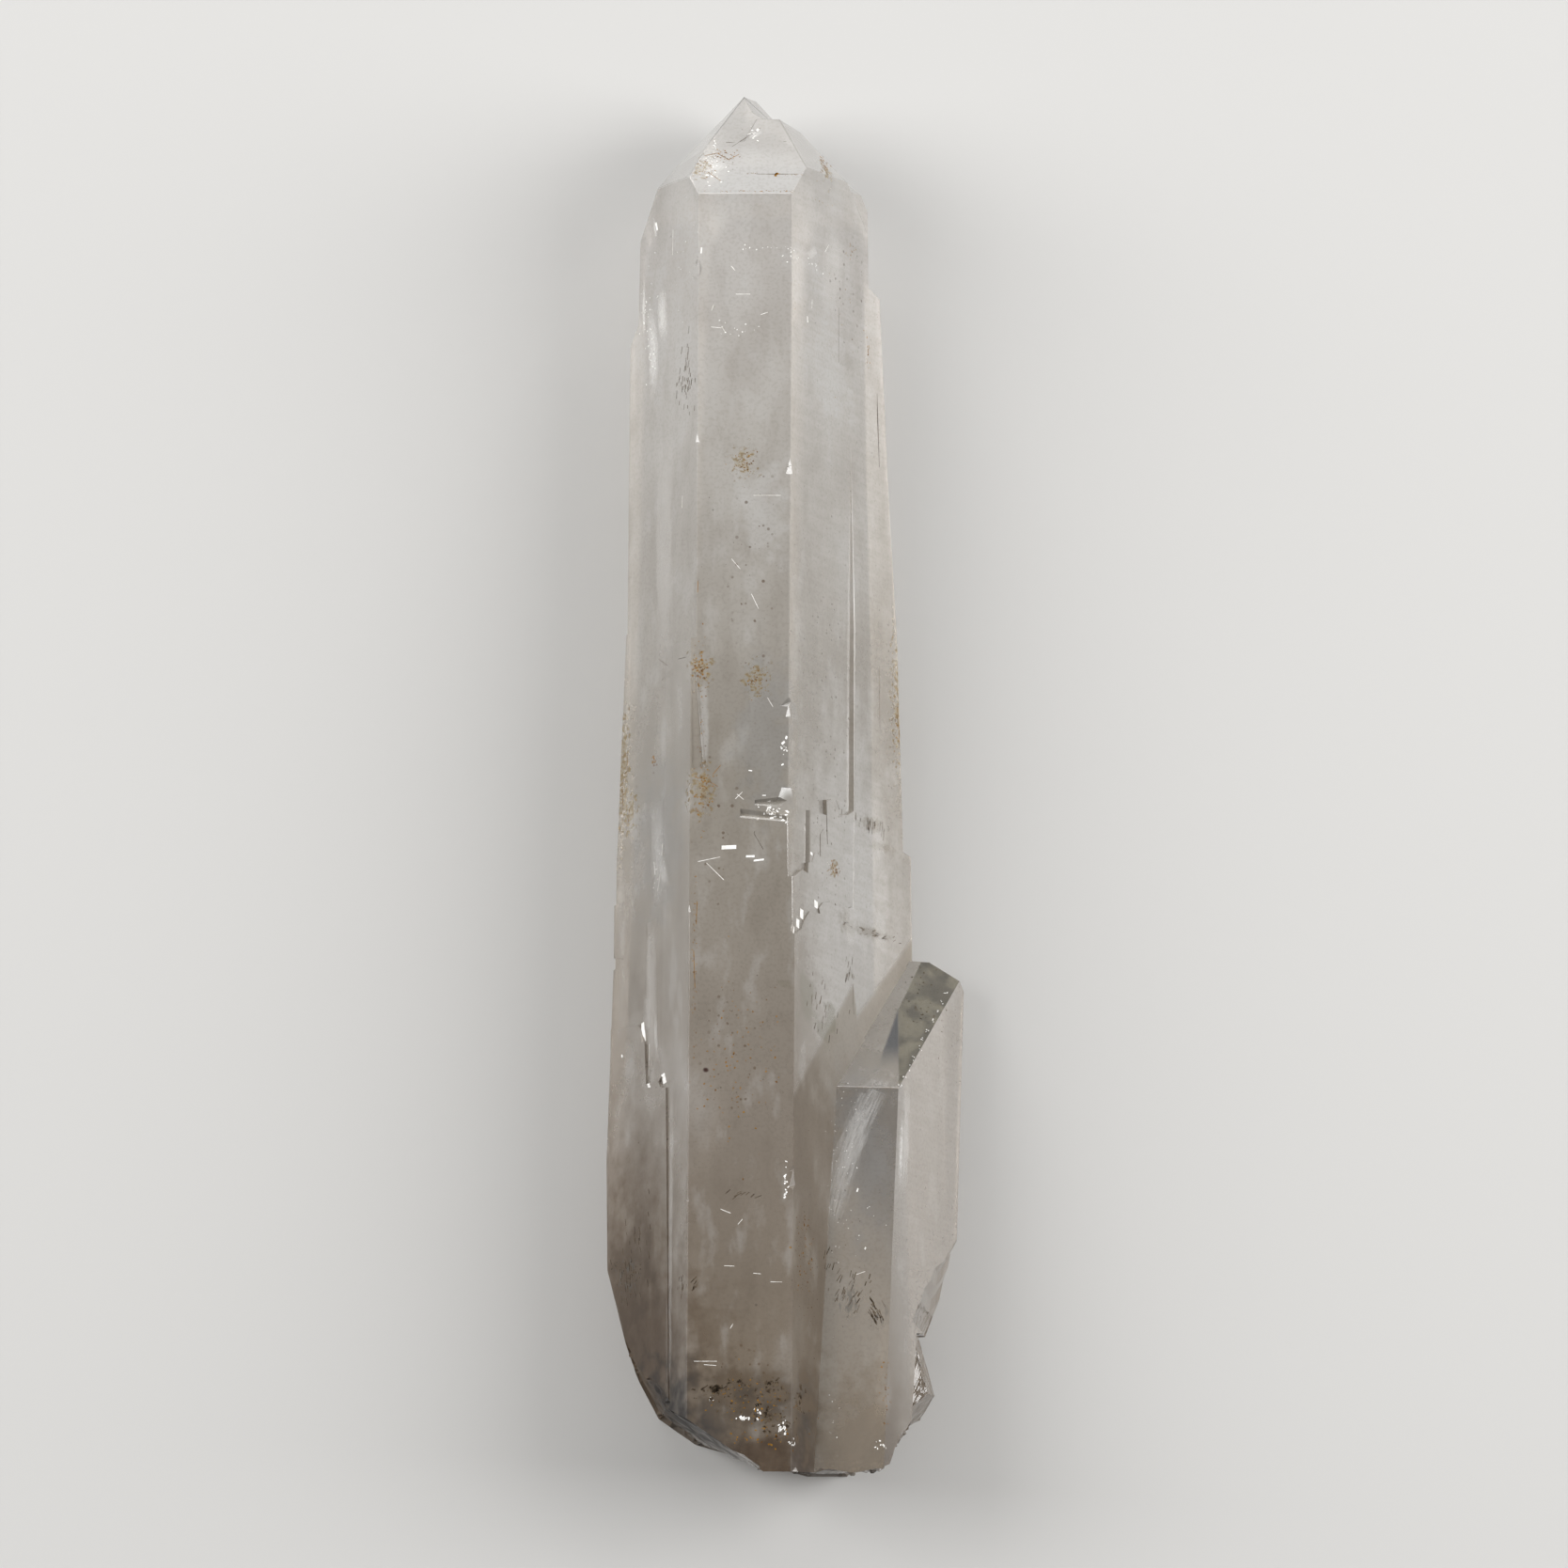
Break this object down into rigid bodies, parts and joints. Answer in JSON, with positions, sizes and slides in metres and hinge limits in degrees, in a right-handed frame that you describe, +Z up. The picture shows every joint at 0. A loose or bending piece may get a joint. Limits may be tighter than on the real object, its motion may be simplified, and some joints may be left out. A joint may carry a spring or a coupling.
{
  "type": "rock crystal point",
  "caption": "Tapered six-sided quartz crystal with a faceted point, raised growth plates, a smaller crystal joined to its right side and a broken foot, lying on a prism face.",
  "frame": {"origin": "centre of the bounding box's underside, on the surface that the crystal lies on", "axes": "+Y along the crystal to its point, +Z up, out of the front prism face, +X towards the smaller side crystal"},
  "size_m": [0.0472, 0.186, 0.0314],
  "materials": {
    "quartz": "clear, slightly smoky and milky, with natural polished faces, growth ledges, rust specks and rough broken ends"
  },
  "bodies": {
    "root": {"rock_crystal": "quartz"}
  },
  "joints": []
}
